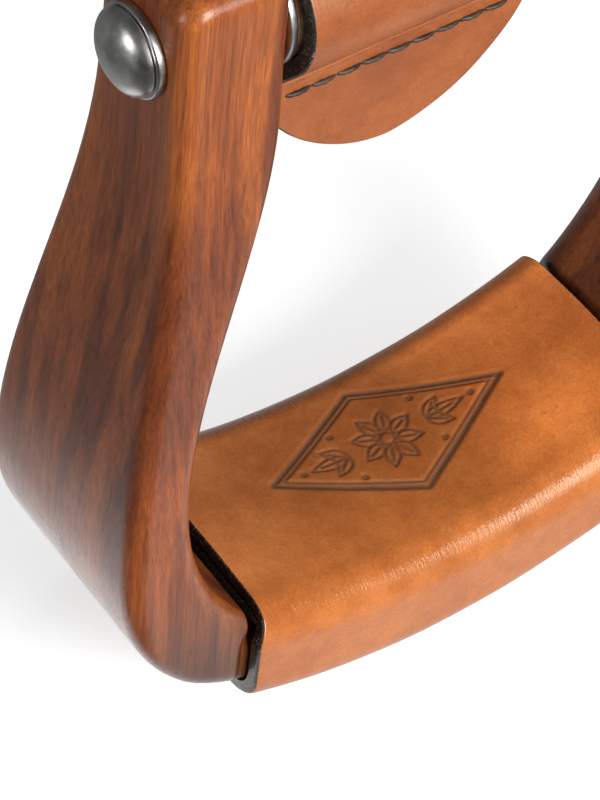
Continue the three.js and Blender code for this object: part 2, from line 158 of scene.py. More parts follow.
def make_piece(name, points, faces, material, marks=None, crease=45):
    """A mesh object from points in millimetres. Marks are named values at each point."""
    mesh = bpy.data.meshes.new(name)
    mesh.from_pydata((np.asarray(points) * MM).tolist(), [], [tuple(f) for f in faces])
    mesh.materials.append(material)
    for label, values in (marks or {}).items():
        layer = mesh.attributes.new(label, "FLOAT", "POINT")
        layer.data.foreach_set("value", np.asarray(values, np.float32).ravel())
    mesh.validate()
    mesh.shade_smooth()
    mesh.set_sharp_from_angle(angle=math.radians(crease))
    piece = bpy.data.objects.new(name, mesh)
    bpy.context.scene.collection.objects.link(piece)
    return piece


def stand_in(piece, body, slot, *nodes):
    """The piece rides on its body and is shown instead of these solids."""
    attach(piece, body)
    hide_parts(*nodes)
    return piece


def loops_to_faces(rows, count, closed_rows=False):
    """Quads between closed loops of points, and a face over each end loop."""
    faces = []
    for row in range(rows if closed_rows else rows - 1):
        a, b = row * count, (row + 1) % rows * count
        for k in range(count):
            n = (k + 1) % count
            faces.append((a + k, a + n, b + n, b + k))
    if not closed_rows:
        faces.append(tuple(range(count - 1, -1, -1)))
        faces.append(tuple((rows - 1) * count + k for k in range(count)))
    return faces


def turned_piece(name, profile, material, bored=False, sides=72, radius_of=None, crease=45):
    """A piece turned about the bolt's axis, from a list of (x, radius).

    A bored profile runs round from the bore and back to it.
    """
    turn = np.linspace(0, 2 * np.pi, sides, endpoint=False)
    rows = []
    for x, radius in profile:
        reach = radius if radius_of is None else radius_of(turn, radius)
        rows.append(np.stack([np.full(sides, x), reach * np.sin(turn),
                              BOLT_Z + reach * np.cos(turn)], 1))
    faces = loops_to_faces(len(profile), sides, closed_rows=bored)
    return make_piece(name, np.concatenate(rows), faces, material, crease=crease)


def rounded_rectangle(half_width, half_height, corner, corner_steps, flat_steps):
    """Points and outward directions round a rectangle with rounded corners."""
    places, outward = [], []
    middles = [(1, -1, -90), (1, 1, 0), (-1, 1, 90), (-1, -1, 180)]
    for right, up, start in middles:
        for t in np.linspace(0, 1, corner_steps + 1):
            angle = math.radians(start + 90 * t)
            direction = (math.cos(angle), math.sin(angle))
            places.append((right * (half_width - corner) + corner * direction[0],
                           up * (half_height - corner) + corner * direction[1]))
            outward.append(direction)
    ring, out = [], []
    total = len(places)
    for k in range(total):
        ring.append(places[k])
        out.append(outward[k])
        if (k + 1) % (corner_steps + 1) == 0:
            a, b = np.array(places[k]), np.array(places[(k + 1) % total])
            for t in np.linspace(0, 1, flat_steps + 2)[1:-1]:
                ring.append(tuple(a + (b - a) * ease(0, 1, t)))
                out.append(outward[k])
    return np.array(ring), np.array(out)


def tube(path, radius, sides, twists):
    """A cord of two strands along a path, with so many twists for each mm, as points and faces."""
    path = np.asarray(path, float)
    along = np.gradient(path, axis=0)
    along /= np.linalg.norm(along, axis=1)[:, None]
    side = np.cross(along[0], (0, 0, 1.0))
    travelled = np.concatenate([[0], np.cumsum(np.linalg.norm(np.diff(path, axis=0), axis=1))])
    turn = np.linspace(0, 2 * np.pi, sides, endpoint=False)
    rows = []
    for place, ahead, gone in zip(path, along, travelled):
        side = side - ahead * (side @ ahead)
        side /= np.linalg.norm(side)
        across = np.cross(ahead, side)
        reach = radius * (0.8 + 0.2 * np.abs(np.cos(turn + twists * gone)))
        rows.append(place + np.outer(np.cos(turn) * reach, side)
                    + np.outer(np.sin(turn) * reach, across))
    return np.concatenate(rows), loops_to_faces(len(path), sides)


# Carved wood, worked out as the distance of a point from the wood's surface

def cover_top(x):
    return COVER_HEIGHT + TOP_ARC - np.sqrt(TOP_ARC ** 2 - x ** 2)


def cover_bottom(x):
    return BOTTOM_ARC - np.sqrt(BOTTOM_ARC ** 2 - x ** 2)


def meet(a, b, radius):
    """Two faces that meet in an outside edge of this radius."""
    beyond = np.hypot(np.maximum(a + radius, 0), np.maximum(b + radius, 0))
    return beyond + np.minimum(np.maximum(a, b) + radius, 0) - radius


def tread_bar(x, y, z, half_length, half_depth, low, high, corner, set_back=0.0):
    """Distance from a bar that follows the tread, between heights from the cover's faces."""
    above = (z - cover_top(x) - high) * np.sqrt(1 - (x / TOP_ARC) ** 2)
    below = (cover_bottom(x) + low - z) * np.sqrt(1 - (x / BOTTOM_ARC) ** 2)
    lift = np.clip((above + corner) / corner, 0, 1)
    end = np.abs(x) - half_length + ease(0, set_back, lift)
    return np.maximum(meet(np.maximum(above, below), np.abs(y) - half_depth, corner), end)


def side_face(face, foot_part, rise_part):
    """Points of one face of the side, from the foot up to the top."""
    angle = np.radians(face["start"] + (90 - face["start"]) * foot_part)
    foot = np.stack([face["half_width"] - face["radius"] * (1 - np.sin(angle)),
                     face["widest"] - face["radius"] * np.cos(angle)], 1)
    height = face["widest"] + (STIRRUP_HEIGHT - TOP_ROUND - face["widest"]) * rise_part
    rise = (height - face["widest"]) / (NECK_START - face["widest"])
    upper = np.stack([ease(face["half_width"], face["neck"], rise), height], 1)
    return np.concatenate([foot, upper[1:]])


def side_lines():
    """Outline of the side seen from the front, with a rounded top, and its middle line."""
    foot_part, rise_part = np.linspace(0, 1, 19), np.linspace(0, 1, 41)
    inner = side_face(INNER_FACE, foot_part, rise_part)
    outer = side_face(OUTER_FACE, foot_part, rise_part)
    turn = np.radians(np.linspace(0, 90, 7))[1:]
    low = STIRRUP_HEIGHT - TOP_ROUND
    inner_top = np.stack([INNER_FACE["neck"] + TOP_ROUND * (1 - np.cos(turn)),
                          low + TOP_ROUND * np.sin(turn)], 1)
    outer_top = np.stack([OUTER_FACE["neck"] - TOP_ROUND * (1 - np.cos(turn)),
                          low + TOP_ROUND * np.sin(turn)], 1)
    return np.concatenate([inner, inner_top, outer_top[::-1], outer[::-1]]), (inner + outer) / 2


OUTLINE, MIDDLE_LINE = side_lines()


def from_segment(x, y, start, end):
    """Square of the distance from a straight line, and how far along it the nearest point is."""
    (ax, ay), (ex, ey) = start, end - start
    part = np.clip(((x - ax) * ex + (y - ay) * ey) / (ex * ex + ey * ey + TINY), 0, 1)
    return (x - ax - ex * part) ** 2 + (y - ay - ey * part) ** 2, part


def from_outline(x, z, outline):
    """Distance from a closed outline, less than zero inside it."""
    nearest, inside = np.inf, False
    for start, end in zip(outline, np.roll(outline, -1, 0)):
        nearest = np.minimum(nearest, from_segment(x, z, start, end)[0])
        (ax, az), (bx, bz) = start, end
        if az != bz:
            crossing = ax + (z - az) * (bx - ax) / (bz - az)
            inside = inside ^ (((az > z) != (bz > z)) & (x < crossing))
    return np.where(inside, -1, 1) * np.sqrt(nearest)


def depth_at(x, z):
    """Half depth of the side at the nearest point of its middle line, that point's height
    and how far inside the bow the place is from the line."""
    nearest, height, inward = np.inf, 0.0, 0.0
    for start, end in zip(MIDDLE_LINE, MIDDLE_LINE[1:]):
        (ax, az), (ex, ez) = start, end - start
        gap, part = from_segment(x, z, start, end)
        left_of_it = (ex * (z - az) - ez * (x - ax)) / math.hypot(ex, ez)
        height = np.where(gap < nearest, az + ez * part, height)
        inward = np.where(gap < nearest, left_of_it, inward)
        nearest = np.minimum(nearest, gap)
    part = (height - TAPER_START) / (TAPER_END - TAPER_START)
    return ease(FOOT_DEPTH, NECK_DEPTH, part) / 2, height, inward


def edge_round(y, height, inward):
    """Radius of the side's long edges: larger at the back of the bow and under the foot."""
    back = np.clip(y / 6, 0, 1) * np.clip(inward / 3, 0, 1)
    back = back * ease(1, 0, (height - BACK_EDGE["top"]) / BACK_EDGE["fade"])
    under = np.clip(-inward / 3, 0, 1)
    under = under * ease(1, 0, (height - UNDER_EDGE["top"]) / UNDER_EDGE["fade"])
    return (EDGE_ROUND + (BACK_EDGE["round"] - EDGE_ROUND) * back
            + (UNDER_EDGE["round"] - EDGE_ROUND) * under)


def side_wood(x, y, z):
    """Distance from the surface of the side at +X, with its foot and its holes."""
    half_depth, height, inward = depth_at(x, z)
    carved = meet(from_outline(x, z, OUTLINE), np.abs(y) - half_depth,
                  edge_round(y, height, inward))
    room = tread_bar(x, y, z, COVER_HALF_LENGTH + FOOT_RECESS, COVER_HALF_DEPTH + CLEARANCE,
                     -CLEARANCE, CLEARANCE, COVER_CORNER + CLEARANCE, END_SET_BACK)
    half_foot = COVER_HALF_DEPTH - HIDDEN_LEATHER
    under, over = HIDDEN_LEATHER, -2 * HIDDEN_LEATHER
    foot = tread_bar(x, y, z, COVER_HALF_LENGTH + 2 * FOOT_RECESS, half_foot, under, over,
                     COVER_CORNER - HIDDEN_LEATHER)
    foot = np.maximum(foot, CORE_HALF_LENGTH + CLEARANCE - x)
    mortise = tread_bar(x, y, z, CORE_HALF_LENGTH + TONGUE_LENGTH + CLEARANCE,
                        half_foot - TONGUE_SIDE_SHOULDER + CLEARANCE,
                        under + TONGUE_SHOULDER - CLEARANCE, over - TONGUE_SHOULDER + CLEARANCE,
                        TONGUE_CORNER)
    pegs = PEG_RADIUS + CLEARANCE - np.hypot(x - PEG_X, np.abs(y) - PEG_Y)
    body = np.minimum(meet(carved, -room, RECESS_EDGE), foot)
    body = np.maximum(np.maximum(body, -mortise), pegs)
    return meet(body, BORE - np.hypot(y, z - BOLT_Z), HOLE_EDGE)


def skin(distance, axes):
    """Points and quads where the distance is zero, on a grid with these lines."""
    xs, ys, zs = axes
    f = distance(xs[:, None, None], ys[None, :, None], zs[None, None, :])
    inside = f < 0
    nx, ny, nz = (len(a) - 1 for a in axes)
    offsets = [(i, j, k) for i in (0, 1) for j in (0, 1) for k in (0, 1)]

    def corner(values, i, j, k):
        return values[i:nx + i, j:ny + j, k:nz + k]

    full = sum(corner(inside, *o).astype(int) for o in offsets)
    cells = np.argwhere((full > 0) & (full < 8))
    number = np.full((nx, ny, nz), -1)
    number[tuple(cells.T)] = np.arange(len(cells))
    place, found = np.zeros((len(cells), 3)), np.zeros(len(cells))
    for o in offsets:
        for axis in range(3):
            if o[axis]:
                continue
            a, b = cells + o, cells + o
            b[:, axis] += 1
            fa, fb = f[tuple(a.T)], f[tuple(b.T)]
            crossed = (fa < 0) != (fb < 0)
            part = np.where(crossed, fa / np.where(crossed, fa - fb, 1), 0)
            spots = np.stack([axes[n][a[:, n]] for n in range(3)], 1)
            spots[:, axis] += part * (axes[axis][b[:, axis]] - axes[axis][a[:, axis]])
            place += np.where(crossed[:, None], spots, 0)
            found += crossed
    points = place / found[:, None]
    quads = []
    for axis in range(3):
        ahead = [0, 0, 0]
        ahead[axis] = 1
        low = inside[:nx + 1 - ahead[0], :ny + 1 - ahead[1], :nz + 1 - ahead[2]]
        high = inside[ahead[0]:, ahead[1]:, ahead[2]:]
        edges = np.argwhere(low != high)
        u, v = (axis + 1) % 3, (axis + 2) % 3
        edges = edges[(edges[:, u] > 0) & (edges[:, v] > 0)]
        edges = edges[(edges[:, u] < (nx, ny, nz)[u]) & (edges[:, v] < (nx, ny, nz)[v])]
        outward = low[tuple(edges.T)]
        around = []
        for du, dv in ((-1, -1), (0, -1), (0, 0), (-1, 0)):
            cell = edges.copy()
            cell[:, u] += du
            cell[:, v] += dv
            around.append(number[tuple(cell.T)])
        quad = np.stack(around, 1)
        quads.append(np.where(outward[:, None], quad, quad[:, ::-1]))
    for _ in range(3):
        columns = [points[:, n] for n in range(3)]
        here = distance(*columns)
        slope = []
        for axis in range(3):
            shifted = [c + 0.02 * (n == axis) for n, c in enumerate(columns)]
            slope.append((distance(*shifted) - here) / 0.02)
        slope = np.stack(slope, 1)
        steepness = np.maximum((slope ** 2).sum(1), 0.25)
        points = points - slope * (np.clip(here, -0.3, 0.3) / steepness)[:, None]
    return points, np.concatenate(quads)


def make_sides(material):
    axes = [np.arange(29.6, 79.3, FINE_GRID), np.arange(-24.5, 24.6, FINE_GRID),
            np.concatenate([np.arange(2.0, 46, FINE_GRID), np.arange(46, 182.4, NECK_GRID)])]
    points, quads = skin(side_wood, axes)
    for hand, flip in (("right", 1), ("left", -1)):
        side = make_piece(f"{hand}_side_wood", points * np.array([flip, 1, 1]),
                          quads[:, ::flip], material, crease=60)
        stand_in(side, "frame", "side_wood", f"{hand}_side")


# Tooling on top of the tread: lines pressed into the leather

def ring_of(centre, reach, count):
    turn = np.linspace(0, 2 * np.pi, count + 1)
    return centre + reach * np.stack([np.cos(turn), np.sin(turn)], 1)


def leaf(base, angle, length, width):
    """A pointed leaf and its rib, from its base outwards."""
    t = np.linspace(0, 1, 13)
    bulge = width * np.sin(np.pi * t ** 0.8)
    along = np.stack([t * length, bulge], 1)
    back = np.stack([t[::-1] * length, -bulge[::-1]], 1)
    rib = np.stack([np.linspace(0.2, 0.72, 5) * length, np.zeros(5)], 1)
    c, s = math.cos(angle), math.sin(angle)
    turn = np.array([[c, s], [-s, c]])
    return [np.concatenate([along, back]) @ turn + base, rib @ turn + base]


def tooling_lines():
    """Lines of a plain flower between two sprigs, inside a lozenge, as (points, half width)."""
    middle = np.array(TOOLED_MIDDLE)
    lozenge = np.array([[-1, 0], [0, -1], [1, 0], [0, 1], [-1, 0]]) * LOZENGE_REACH
    lines = [(lozenge + middle, LOZENGE_LINE), (lozenge * [0.91, 0.9] + middle, 0.28)]
    for k in range(8):
        angle = math.radians(45 * k + 22.5)
        start = middle + 1.9 * np.array([math.cos(angle), math.sin(angle)])
        lines += [(part, FINE_LINE) for part in leaf(start, angle, 5.2, 1.5)]
    lines.append((ring_of(middle, 1.5, 20), 0.34))
    for side in (-1, 1):
        for spread in (-38, 0, 38):
            angle = math.radians(spread) + (0 if side > 0 else math.pi)
            start = middle + np.array([side * 9.4, 0.0])
            length = 8.6 if spread == 0 else 5.4
            lines += [(part, FINE_LINE) for part in leaf(start, angle, length, 1.35)]
        for x, y in ((19.9, 0), (9.6, 5.9), (9.6, -5.9)):
            lines.append((ring_of(middle + np.array([side * x, y]), 0.45, 8), FINE_LINE))
    return lines


def pressed(x, y):
    """How far each point of the top is pressed in, from 0 to 1."""
    depth = np.zeros(x.shape)
    for line, half_width in tooling_lines():
        reach = 2.2 * half_width
        near = ((x > line[:, 0].min() - reach) & (x < line[:, 0].max() + reach)
                & (y > line[:, 1].min() - reach) & (y < line[:, 1].max() + reach))
        px, py = x[near], y[near]
        gap = np.full(px.shape, np.inf)
        for start, end in zip(line, line[1:]):
            gap = np.minimum(gap, from_segment(px, py, start, end)[0])
        strength = 1.0 if half_width == LOZENGE_LINE else 0.8
        depth[near] = np.maximum(depth[near], strength * smooth(reach, np.sqrt(gap)))
    return depth


# Leather

def cover_ring():
    """Places round the cover from one edge of the seam to the other.

    Each is (y, which height it hangs from, height from there, outward y, outward z).
    """
    flat = COVER_HALF_DEPTH - COVER_CORNER
    bottom_y = np.concatenate([np.linspace(SEAM_GAP / 2, GROOVE_HALF_WIDTH + 1.5, 14),
                               np.linspace(GROOVE_HALF_WIDTH + 2.5, flat, 10)])
    top_y = np.linspace(flat, 0, 68)
    turn = np.linspace(0, 90, 15)[1:-1]
    places = []
    for y in bottom_y:
        places.append((y, 0.0, 0.0, 0.0, -1.0))
    for a in np.radians(turn):
        places.append((flat + COVER_CORNER * math.sin(a), 0.0,
                       COVER_CORNER * (1 - math.cos(a)), math.sin(a), -math.cos(a)))
    for part in np.linspace(0, 1, 14):
        places.append((COVER_HALF_DEPTH, part, COVER_CORNER * (1 - 2 * part), 1.0, 0.0))
    for a in np.radians(turn):
        places.append((flat + COVER_CORNER * math.cos(a), 1.0,
                       -COVER_CORNER * (1 - math.sin(a)), math.cos(a), math.sin(a)))
    for y in top_y:
        places.append((y, 1.0, 0.0, 0.0, 1.0))
    mirrored = [(-y, part, up, -oy, oz) for y, part, up, oy, oz in reversed(places[:-1])]
    return np.array(places + mirrored)


def make_cover(leather):
    ring = cover_ring()
    y, part, up, out_y, out_z = ring.T
    lift = np.where(part == 1, np.clip(1 + up / COVER_CORNER, 0, 1), 0)
    toward_back = np.clip((y + COVER_HALF_DEPTH) / (2 * COVER_HALF_DEPTH), 0, 1)
    set_back = 1 - (1 - BACK_SET_BACK) * toward_back
    length = COVER_HALF_LENGTH - ease(0, END_SET_BACK, lift) * set_back
    edge = CUT_EDGE_ROUND
    turn = np.radians(np.linspace(0, 90, 6))
    ends = np.linspace(-1, -0.6, 22)[:-1]
    along = np.concatenate([ends, np.linspace(-0.6, 0.6, 221), -ends[::-1]])
    outer = [(a, 0.0, 0.0) for a in along]
    right = [(1.0, edge * math.sin(t), edge * (1 - math.cos(t))) for t in turn[1:]]
    right += [(1.0, edge, d) for d in np.linspace(edge, LEATHER - 0.3, 7)[1:]]
    inner = [(a, 0.3 if abs(a) == 1 else 0.0, float(LEATHER)) for a in np.linspace(1, -1, 41)]
    left = [(-1.0, edge, d) for d in np.linspace(LEATHER - 0.3, edge, 7)]
    left += [(-1.0, edge * math.sin(t), edge * (1 - math.cos(t))) for t in turn[::-1][1:-1]]
    loop = outer + right + inner + left
    rows, count = len(ring), len(loop)
    share = np.array([p[0] for p in loop])[None, :]
    beyond = np.array([p[1] for p in loop])[None, :] * np.sign(share)
    sunk = np.array([p[2] for p in loop])[None, :]
    x = share * (length[:, None] - edge) + beyond
    groove = GROOVE_DEPTH * smooth(1.2, np.abs(y) - GROOVE_HALF_WIDTH + 0.6)[:, None]
    groove = np.where((part[:, None] == 0) & (out_y[:, None] == 0), groove, 0)
    base = np.where(sunk < LEATHER / 2, groove * (1 - sunk / (LEATHER / 2)), 0)
    across = y[:, None]
    wave = SURFACE_WAVE * np.sin(x * 0.19 + across * 0.11) * np.sin(x * 0.07 - across * 0.23)
    on_top = (part == 1) & (out_y == 0)
    mark = np.zeros((rows, count))
    px = np.broadcast_to(x, (rows, count))[:, :len(outer)]
    py = np.broadcast_to(across, px.shape)
    mark[:, :len(outer)] = pressed(px, py) * on_top[:, None]
    worn = (SURFACE_WAVE + wave) * (sunk == 0) * (1 - np.abs(share) ** 6)
    depth = sunk + base + TOOLED_DEPTH * mark + worn
    crown = COVER_CROWN * np.clip(1 - (y / CROWN_REACH) ** 2, 0, 1) ** 2 * (part == 1)
    height = (1 - part[:, None]) * cover_bottom(x) + part[:, None] * cover_top(x)
    height = height + (up + crown)[:, None]
    z = height - out_z[:, None] * depth
    points = np.stack([x, across - out_y[:, None] * depth, z], 2).reshape(-1, 3)
    to_end = length[:, None] - np.abs(x)
    at_edge = np.clip((sunk - 0.06) / 0.14, 0, 1) + 0.3 * smooth(0.5, to_end)
    dyed = np.where(sunk < LEATHER, np.minimum(at_edge, 1), smooth(2.5, to_end))
    faces = loops_to_faces(rows, count)
    cover = make_piece("tread_cover_leather", points, faces, leather, crease=60,
                       marks={"pressed_in": mark, "edge_dye": dyed})
    return stand_in(cover, "frame", "cover_leather", "tread_cover")


def make_pad(leather):
    """The second layer, which shows only where its ends are cut."""
    half_length = COVER_HALF_LENGTH - END_SET_BACK + 0.3
    half_depth = COVER_HALF_DEPTH - LEATHER - PAD_MARGIN
    ring, out = rounded_rectangle(half_depth, LEATHER / 2, 1.2, 6, 24)
    edge = 0.5
    turn = np.radians(np.linspace(90, 0, 5))
    rows = [(-1, edge * math.cos(t), edge * (1 - math.sin(t))) for t in turn[::-1]]
    rows += [(s, 0, 0) for s in np.linspace(-1, 1, 60)[1:-1]]
    rows += [(1, edge * math.cos(t), edge * (1 - math.sin(t))) for t in turn]
    points, dyed = [], []
    for share, beyond, inset in rows:
        x = share * (half_length - edge) + np.sign(share) * beyond
        across = ring[:, 0] - out[:, 0] * inset
        middle = cover_top(x) - HIDDEN_LEATHER - LEATHER / 2
        points.append(np.stack([np.full(len(ring), x), across,
                                middle + ring[:, 1] - out[:, 1] * inset], 1))
        dyed.append(np.full(len(ring), float(smooth(2.0, half_length - abs(x) - 0.5))))
    faces = loops_to_faces(len(rows), len(ring))
    pad = make_piece("tread_pad_leather", np.concatenate(points), faces, leather,
                     marks={"pressed_in": np.zeros(len(points) * len(ring)),
                            "edge_dye": np.concatenate(dyed)}, crease=60)
    return stand_in(pad, "frame", "pad_leather", "tread_pad")


def make_lace(thread):
    """The lace that draws the edges of the cover together under the tread."""
    t = np.linspace(0, 1, LACE_WAVES * 24 + 1)
    x = (2 * t - 1) * (COVER_HALF_LENGTH - LACE_END_MARGIN)
    swing = LACE_SWING * np.sin(2 * np.pi * LACE_WAVES * t)
    height = GROOVE_DEPTH / 2 - 0.12 * np.cos(4 * np.pi * LACE_WAVES * t)
    points, faces = tube(np.stack([x, swing, cover_bottom(x) + height], 1), LACE_RADIUS,
                         sides=12, twists=1.6)
    return stand_in(make_piece("tread_lace_cord", points, faces, thread),
                    "frame", "waxed_thread", "tread_lace")


def flap_path():
    """The middle of the strip, seen from the end, as (y, z, which row of the tip)."""
    radius = ROLLER_RADIUS + CLEARANCE + LEATHER / 2
    reach = math.hypot(LEATHER / 2, FLAP_JOIN_DROP)
    slant = math.asin(radius / reach) - math.atan2(LEATHER / 2, FLAP_JOIN_DROP)
    tip = [(-PLY_MIDDLE, -FLAP_DROP, t) for t in np.linspace(0, 1, 30) ** 1.6]
    down = [(-PLY_MIDDLE, z, None) for z in np.linspace(-FLAP_SHOULDER_DROP - 0.3, -18, 3)]
    turn = np.linspace(-slant, math.pi + slant, 49)
    loop = [(-radius * math.cos(a), radius * math.sin(a), None) for a in turn]
    start, end = np.array([-PLY_MIDDLE, -17.6]), np.array(loop[0][:2])
    slope = [(*(start + (end - start) * t), None) for t in np.linspace(0, 1, 12)[1:-1]]
    front = tip + down + slope + loop[:25]
    back = [(-y, z, t) for y, z, t in reversed(front[:-1])]
    return front + back


def tip_place(t):
    """Half width and height of the flap's rounded tip."""
    a = np.array([(0, -FLAP_DROP), *FLAP_TIP_HANDLES, (FLAP_HALF_WIDTH, -FLAP_SHOULDER_DROP)])
    s = 1 - t
    return s ** 3 * a[0] + 3 * s * s * t * a[1] + 3 * s * t * t * a[2] + t ** 3 * a[3]


def make_flap(leather):
    path = flap_path()
    line = np.array([(y, z if t is None else tip_place(t)[1]) for y, z, t in path])
    along = np.gradient(line, axis=0)
    along /= np.linalg.norm(along, axis=1)[:, None] + TINY
    outward = np.stack([-along[:, 1], along[:, 0]], 1)
    points, dyed = [], []
    for (y, z), (out_y, out_z), (_, _, t) in zip(line, outward, path):
        half_width = FLAP_HALF_WIDTH if t is None else max(tip_place(t)[0], 0.35)
        corner = min(0.55, 0.3 * half_width + 0.05)
        ring, out = rounded_rectangle(half_width, LEATHER / 2 - 0.02, corner, 4, 26)
        ripple = 0.05 * np.sin(ring[:, 0] * 0.31 + z * 0.17) * (ring[:, 1] > 0)
        reach = ring[:, 1] - ripple
        points.append(np.stack([FLAP_X + ring[:, 0], y + out_y * reach,
                                BOLT_Z + z + out_z * reach], 1))
        dyed.append(np.clip(np.abs(out[:, 0]) * 1.6, 0, 1)
                    + 0.4 * smooth(0.7, half_width - np.abs(ring[:, 0])))
    faces = loops_to_faces(len(points), len(points[0]))
    flap = make_piece("neck_flap_leather", np.concatenate(points), faces, leather,
                      marks={"pressed_in": np.zeros(len(points) * len(points[0])),
                             "edge_dye": np.concatenate(dyed)}, crease=55)
    return stand_in(flap, "flap", "cover_leather", "neck_flap")


def make_stitching(thread):
    """Saddle stitches that draw the plies of the flap together, seen on both faces."""
    t = np.linspace(0, 1, STITCHES * 16 + 1)
    x = FLAP_X + (2 * t - 1) * (FLAP_HALF_WIDTH - STITCH_MARGIN)
    out = 2.3 + 0.95 * np.abs(np.sin(np.pi * STITCHES * t)) ** 0.5
    z = np.full(len(t), BOLT_Z - STITCH_DROP)
    points, faces = [], []
    for side in (-1, 1):
        cord, around = tube(np.stack([x, side * out, z], 1), STITCH_RADIUS, sides=10, twists=2.2)
        faces += [tuple(len(cord) * len(points) + i for i in face) for face in around]
        points.append(cord)
    return stand_in(make_piece("flap_stitching", np.concatenate(points), faces, thread),
                    "flap", "waxed_thread", "flap_thread")


# Roller, bolt and washers

def arc_profile(x, radius, size, start, end, steps=5):
    """Part of a profile that rounds a corner, about the middle of its arc."""
    turn = np.radians(np.linspace(start, end, steps))
    return [(x + size * math.cos(a), radius + size * math.sin(a)) for a in turn]


def make_roller(wood):
    reach, outside, edge = ROLLER_HALF_LENGTH, ROLLER_RADIUS, ROLLER_EDGE
    profile = [(-reach + 0.3, BORE), (-reach, BORE + 0.3)]
    profile += arc_profile(-reach + edge, outside - edge, edge, 180, 90)
    for x in np.linspace(-reach + edge + 2, reach - edge - 2, 60):
        profile.append((x, outside - 0.04 - 0.04 * math.sin(x * 2.1) * math.sin(x * 0.37)))
    profile += arc_profile(reach - edge, outside - edge, edge, 90, 0)
    profile += [(reach, BORE + 0.3), (reach - 0.3, BORE)]
    profile += [(x, BORE) for x in np.linspace(reach - 1, -reach + 1, 12)]
    roller = turned_piece("top_roller_wood", profile, wood, bored=True, sides=96)
    return stand_in(roller, "roller", "inner_wood", "top_roller")


def make_bolt(steel):
    head = -NECK_FACE - OUTER_WASHER["thick"]
    end = -head + NUT_HEIGHT + BOLT_END_PAST_NUT
    turn = np.radians(np.linspace(0, 84, 12))
    profile = [(head - BOLT_HEAD_HEIGHT * math.cos(a), max(BOLT_HEAD_RADIUS * math.sin(a), 0.02))
               for a in turn]
    profile += arc_profile(head - 0.4, BOLT_HEAD_RADIUS - 0.4, 0.4, 20, -60, 4)
    profile += [(head, 6.7), (head, 4.6), (head + 0.6, BOLT_RADIUS), (40.0, BOLT_RADIUS)]
    for k in range(26):
        x = 44 + k * THREAD_PITCH
        profile += [(x, BOLT_RADIUS), (x + 0.3, BOLT_RADIUS),
                    (x + 0.62, BOLT_RADIUS - THREAD_DEPTH),
                    (x + 0.94, BOLT_RADIUS - 0.02)]
    profile = [p for p in profile if p[0] < end - 0.8]
    profile += [(end - 0.7, BOLT_RADIUS - 0.1), (end, BOLT_RADIUS - 0.8), (end, 0.02)]
    bolt = turned_piece("top_bolt_steel", profile, steel, crease=35)
    return stand_in(bolt, "frame", "hardware", "top_bolt")


def hexagon(turn, radius):
    """Six flats as far out as the radius lets them be."""
    sixth = math.pi / 3
    flat = NUT_HALF_ACROSS / np.cos((turn + sixth / 2) % sixth - sixth / 2)
    return np.minimum(flat, radius)


def make_nut(steel):
    low = NECK_FACE + OUTER_WASHER["thick"]
    high, chamfer = low + NUT_HEIGHT, 6.6
    profile = [(low + 0.6, BORE), (low, BORE + 0.6), (low, chamfer), (low + 0.5, NUT_CORNER)]
    profile += [(x, NUT_CORNER) for x in np.linspace(low + 1.2, high - 1.2, 4)]
    profile += [(high - 0.5, NUT_CORNER), (high, chamfer), (high, BORE + 0.6), (high - 0.6, BORE)]
    nut = turned_piece("bolt_nut_steel", profile, steel, bored=True, sides=144,
                       radius_of=hexagon, crease=25)
    return stand_in(nut, "frame", "hardware", "bolt_nut")


def make_washers(steel):
    places = {
        "right_outer_washer": (NECK_FACE, OUTER_WASHER),
        "left_outer_washer": (-NECK_FACE - OUTER_WASHER["thick"], OUTER_WASHER),
        "right_inner_washer": (NECK_GAP - INNER_WASHER["thick"], INNER_WASHER),
        "left_inner_washer": (-NECK_GAP, INNER_WASHER),
    }
    for node, (x, washer) in places.items():
        far, rim = x + washer["thick"], washer["radius"] - WASHER_EDGE
        profile = [(x + 0.2, BORE), (x, BORE + 0.2)]
        profile += arc_profile(x + WASHER_EDGE, rim, WASHER_EDGE, 180, 90, 4)
        profile += arc_profile(far - WASHER_EDGE, rim, WASHER_EDGE, 90, 0, 4)
        profile += [(far, BORE + 0.2), (far - 0.2, BORE)]
        stand_in(turned_piece(f"{node}_steel", profile, steel, bored=True),
                 "frame", "hardware", node)


# Shader nodes

def add(tree, kind, label="", **values):
    """A node with these input values. Names with a capital are inputs, others are settings."""
    node = tree.nodes.new(kind)
    node.label = label
    for key, value in values.items():
        if key[0].isupper():
            node.inputs[key.replace("_", " ")].default_value = value
        else:
            setattr(node, key, value)
    return node


def join(tree, *links):
    for source, target in links:
        tree.links.new(source, target)


def maths(tree, operation, *values, clamp=False):
    """A Math node. Each value is a socket or a number."""
    node = tree.nodes.new("ShaderNodeMath")
    node.operation, node.use_clamp = operation, clamp
    for socket, value in zip(node.inputs, values):
        if isinstance(value, (int, float)):
            socket.default_value = value
        else:
            tree.links.new(value, socket)
    return node.outputs[0]


def times(tree, first, second, clamp=False):
    return maths(tree, "MULTIPLY", first, second, clamp=clamp)


def vector_maths(tree, operation, place, second=None):
    """The outputs of a Vector Math node on a place. The second value is a plain vector."""
    node = add(tree, "ShaderNodeVectorMath", operation=operation)
    if second is not None:
        node.inputs[1].default_value = second
    join(tree, (place, node.inputs[0]))
    return node.outputs


def mixed(tree, factor, first, second, blend="MIX"):
    """A colour mix. Each side is a socket or a colour."""
    node = tree.nodes.new("ShaderNodeMix")
    node.data_type, node.blend_type = "RGBA", blend
    for socket, value in zip((node.inputs[0], node.inputs[6], node.inputs[7]),
                             (factor, first, second)):
        if isinstance(value, bpy.types.NodeSocket):
            tree.links.new(value, socket)
        else:
            socket.default_value = (*value, 1) if isinstance(value, tuple) else value
    return node.outputs[2]


